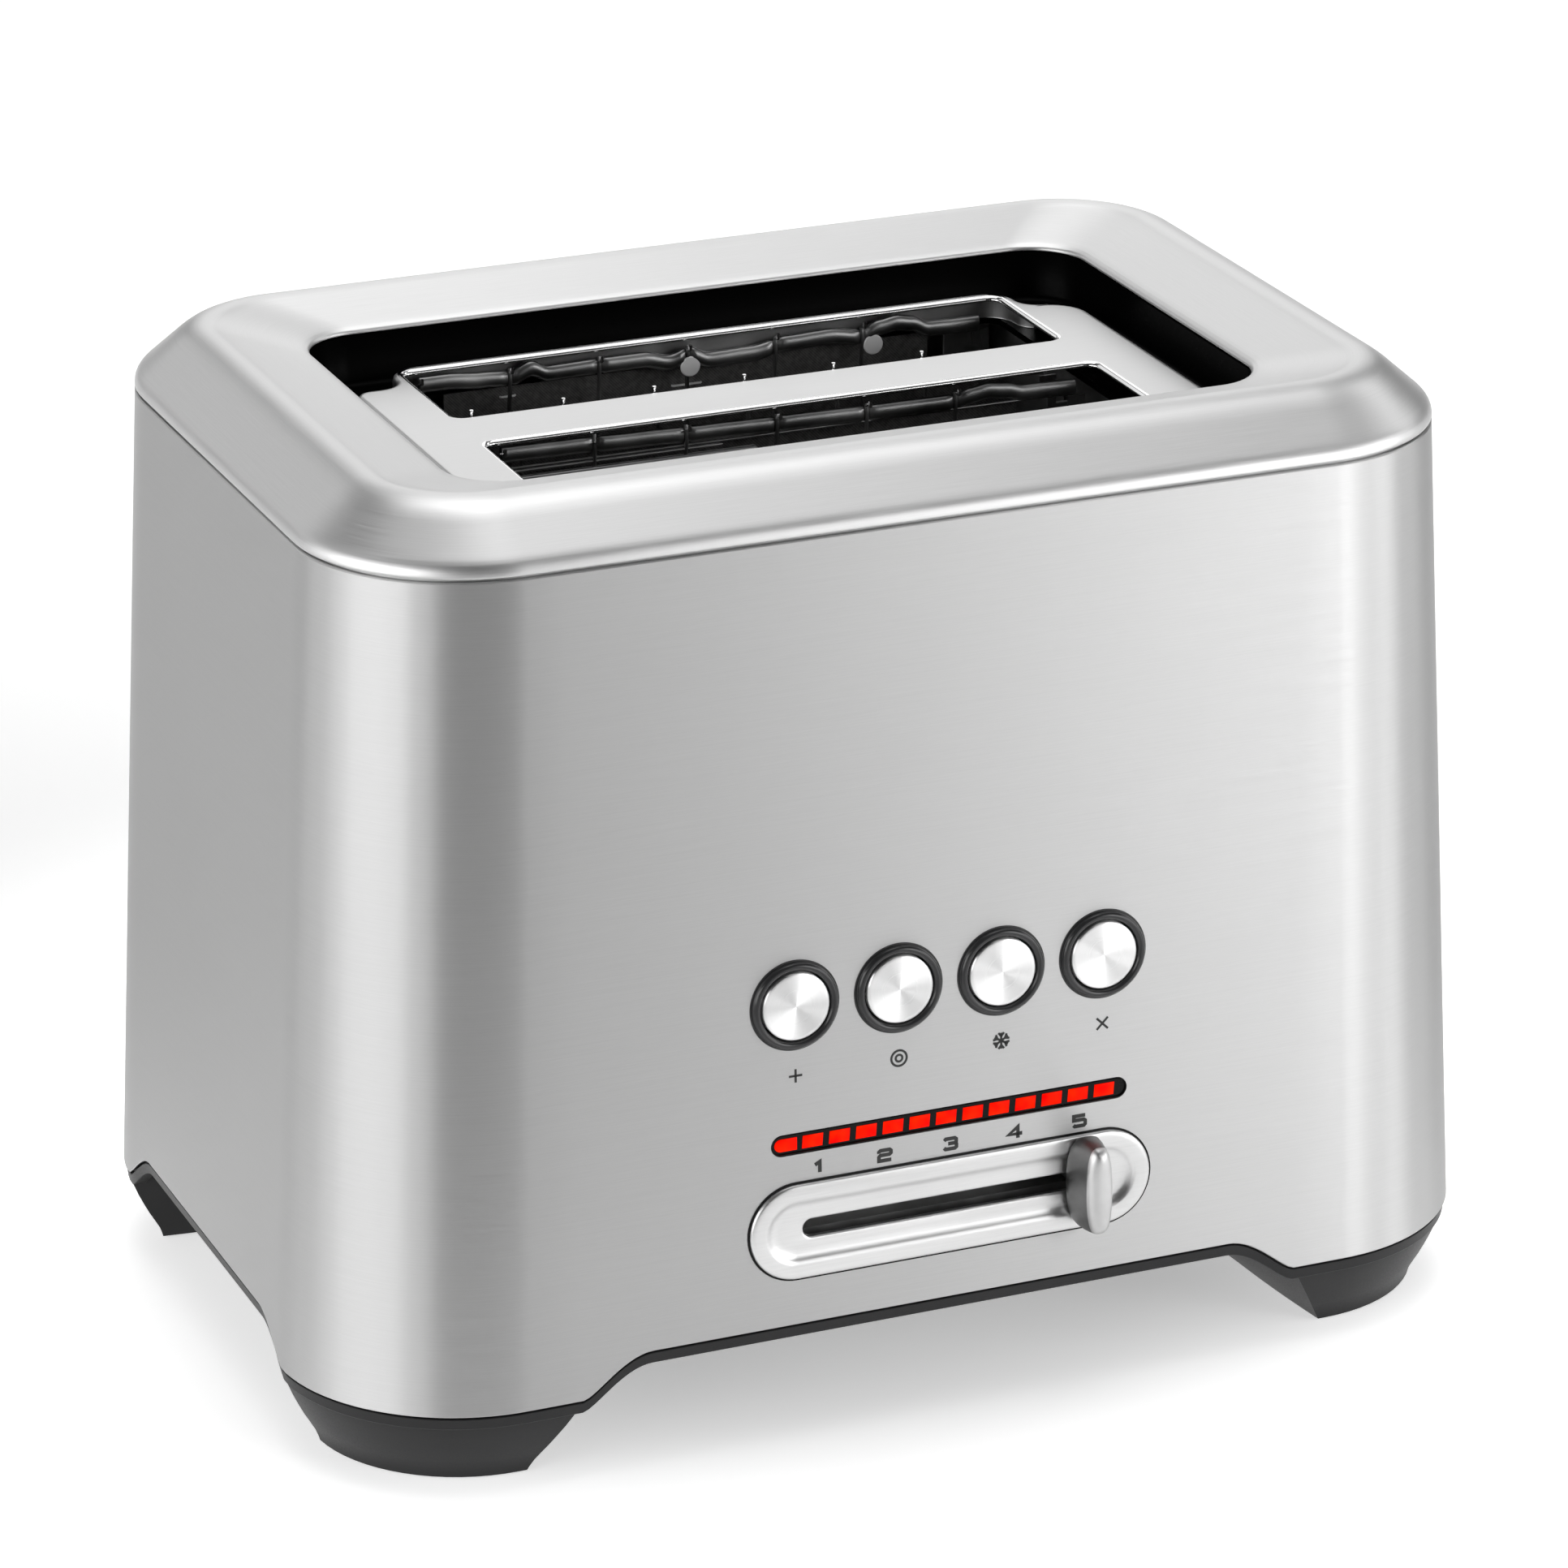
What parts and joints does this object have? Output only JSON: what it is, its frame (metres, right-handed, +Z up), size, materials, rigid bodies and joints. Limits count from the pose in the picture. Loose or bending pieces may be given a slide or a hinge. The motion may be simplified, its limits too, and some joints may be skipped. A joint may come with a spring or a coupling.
{
  "type": "pop up toaster",
  "caption": "Free-standing pop-up toaster with a recessed slot plate, end lever, browning slider, light bar, push buttons and a slide-out crumb tray.",
  "frame": {"origin": "bottom centre of the whole object's box, on the surface that the feet stand on", "axes": "+X along the long side towards the lever end, -Y out of the control panel, +Z up"},
  "size_m": [0.2828, 0.1988, 0.2128],
  "materials": {
    "shell_steel": "brushed stainless sheet, fine level grain",
    "cap_metal": "brushed die casting",
    "liner_black": "black gloss moulding",
    "plate_steel": "bright brushed stainless plate with polished edges",
    "base_plastic": "dark grey satin moulding",
    "pad_rubber": "black rubber",
    "trim_plastic": "black satin trim",
    "screw_steel": "zinc plated screws",
    "galvanised": "galvanised sheet",
    "mica": "dark mica board",
    "ribbon": "resistance ribbon",
    "rod_steel": "ground steel rod",
    "magnet": "copper winding on an iron core",
    "ivory_plastic": "ivory heat-resistant plastic",
    "board_green": "green circuit board",
    "relay_blue": "dark blue case",
    "ring_gloss": "glossy dark grey ring",
    "button_metal": "spun bright aluminium",
    "window_black": "black window with dividers",
    "light_red": "lit red light guides",
    "slider_metal": "satin metal plate",
    "knob_metal": "satin cast knob",
    "guard_steel": "heat-darkened guard wires",
    "spring_steel": "spring wire",
    "tray_steel": "stainless tray"
  },
  "bodies": {
    "housing": {"outer_shell": "shell_steel", "top_cap": "cap_metal", "well_liner": "liner_black", "slot_plate": "plate_steel", "base_moulding": "base_plastic", "corner_feet": "base_plastic", "foot_pads": "pad_rubber", "base_screws": "screw_steel", "cord_gland": "trim_plastic", "lever_bezel": "trim_plastic", "chassis_left": "galvanised", "chassis_right": "galvanised", "reflector_front": "galvanised", "reflector_rear": "galvanised", "heater_board_front": "mica", "heater_board_centre": "mica", "heater_board_rear": "mica", "heater_ribbon_front": "ribbon", "heater_ribbon_centre": "ribbon", "heater_ribbon_rear": "ribbon", "guide_rod": "rod_steel", "electromagnet": "magnet", "mains_switch": "ivory_plastic", "power_board": "board_green", "relay": "relay_blue", "terminal_block": "ivory_plastic", "control_board": "board_green", "tact_switches": "trim_plastic", "slide_potentiometer": "galvanised", "button_rings": "ring_gloss", "light_bar_window": "window_black", "light_cells": "light_red", "slider_plate": "slider_metal"},
    "carriage_set": {"carriage": "galvanised", "keeper_plate": "rod_steel", "lever_arm": "galvanised", "lever_knob": "knob_metal", "bread_rack_front": "guard_steel", "bread_rack_rear": "guard_steel", "return_spring": "spring_steel"},
    "guard_front_outer": {"guard_front_outer": "guard_steel"},
    "guard_front_inner": {"guard_front_inner": "guard_steel"},
    "guard_rear_inner": {"guard_rear_inner": "guard_steel"},
    "guard_rear_outer": {"guard_rear_outer": "guard_steel"},
    "slider_knob": {"slider_knob": "knob_metal"},
    "extend_button": {"extend_button": "button_metal"},
    "bagel_button": {"bagel_button": "button_metal"},
    "frozen_button": {"frozen_button": "button_metal"},
    "cancel_button": {"cancel_button": "button_metal"},
    "crumb_tray": {"crumb_tray": "tray_steel"}
  },
  "joints": [
    {"name": "lever_slide", "type": "slide", "parent": "housing", "child": "carriage_set", "axis": [0, 0, 1], "range_m": [-0.075, 0.012], "stiffness_N_per_m": 60, "springref_m": 0.01716, "deforming": ["return_spring"]},
    {"name": "guard_front_outer_slide", "type": "slide", "parent": "housing", "child": "guard_front_outer", "axis": [0, 1, 0], "range_m": [-0.0009, 0.00501]},
    {"name": "guard_front_inner_slide", "type": "slide", "parent": "housing", "child": "guard_front_inner", "axis": [0, -1, 0], "range_m": [-0.0009, 0.00501]},
    {"name": "guard_rear_inner_slide", "type": "slide", "parent": "housing", "child": "guard_rear_inner", "axis": [0, 1, 0], "range_m": [-0.0009, 0.00501]},
    {"name": "guard_rear_outer_slide", "type": "slide", "parent": "housing", "child": "guard_rear_outer", "axis": [0, -1, 0], "range_m": [-0.0009, 0.00501]},
    {"name": "browning_slide", "type": "slide", "parent": "housing", "child": "slider_knob", "axis": [1, 0, 0], "range_m": [-0.06, 0]},
    {"name": "extend_press", "type": "slide", "parent": "housing", "child": "extend_button", "axis": [0, 0.9996, -0.0281], "range_m": [0, 0.0015], "stiffness_N_per_m": 500, "springref_m": -0.001},
    {"name": "bagel_press", "type": "slide", "parent": "housing", "child": "bagel_button", "axis": [0, 0.9996, -0.0281], "range_m": [0, 0.0015], "stiffness_N_per_m": 500, "springref_m": -0.001},
    {"name": "frozen_press", "type": "slide", "parent": "housing", "child": "frozen_button", "axis": [0, 0.9996, -0.0281], "range_m": [0, 0.0015], "stiffness_N_per_m": 500, "springref_m": -0.001},
    {"name": "cancel_press", "type": "slide", "parent": "housing", "child": "cancel_button", "axis": [0, 0.9996, -0.0281], "range_m": [0, 0.0015], "stiffness_N_per_m": 500, "springref_m": -0.001},
    {"name": "tray_slide", "type": "slide", "parent": "housing", "child": "crumb_tray", "axis": [0, 1, 0], "range_m": [0, 0.13]}
  ],
  "couplings": [
    {"joint": "guard_front_outer_slide", "follows": "lever_slide", "ratio": -0.066667},
    {"joint": "guard_front_inner_slide", "follows": "lever_slide", "ratio": -0.066667},
    {"joint": "guard_rear_inner_slide", "follows": "lever_slide", "ratio": -0.066667},
    {"joint": "guard_rear_outer_slide", "follows": "lever_slide", "ratio": -0.066667}
  ]
}
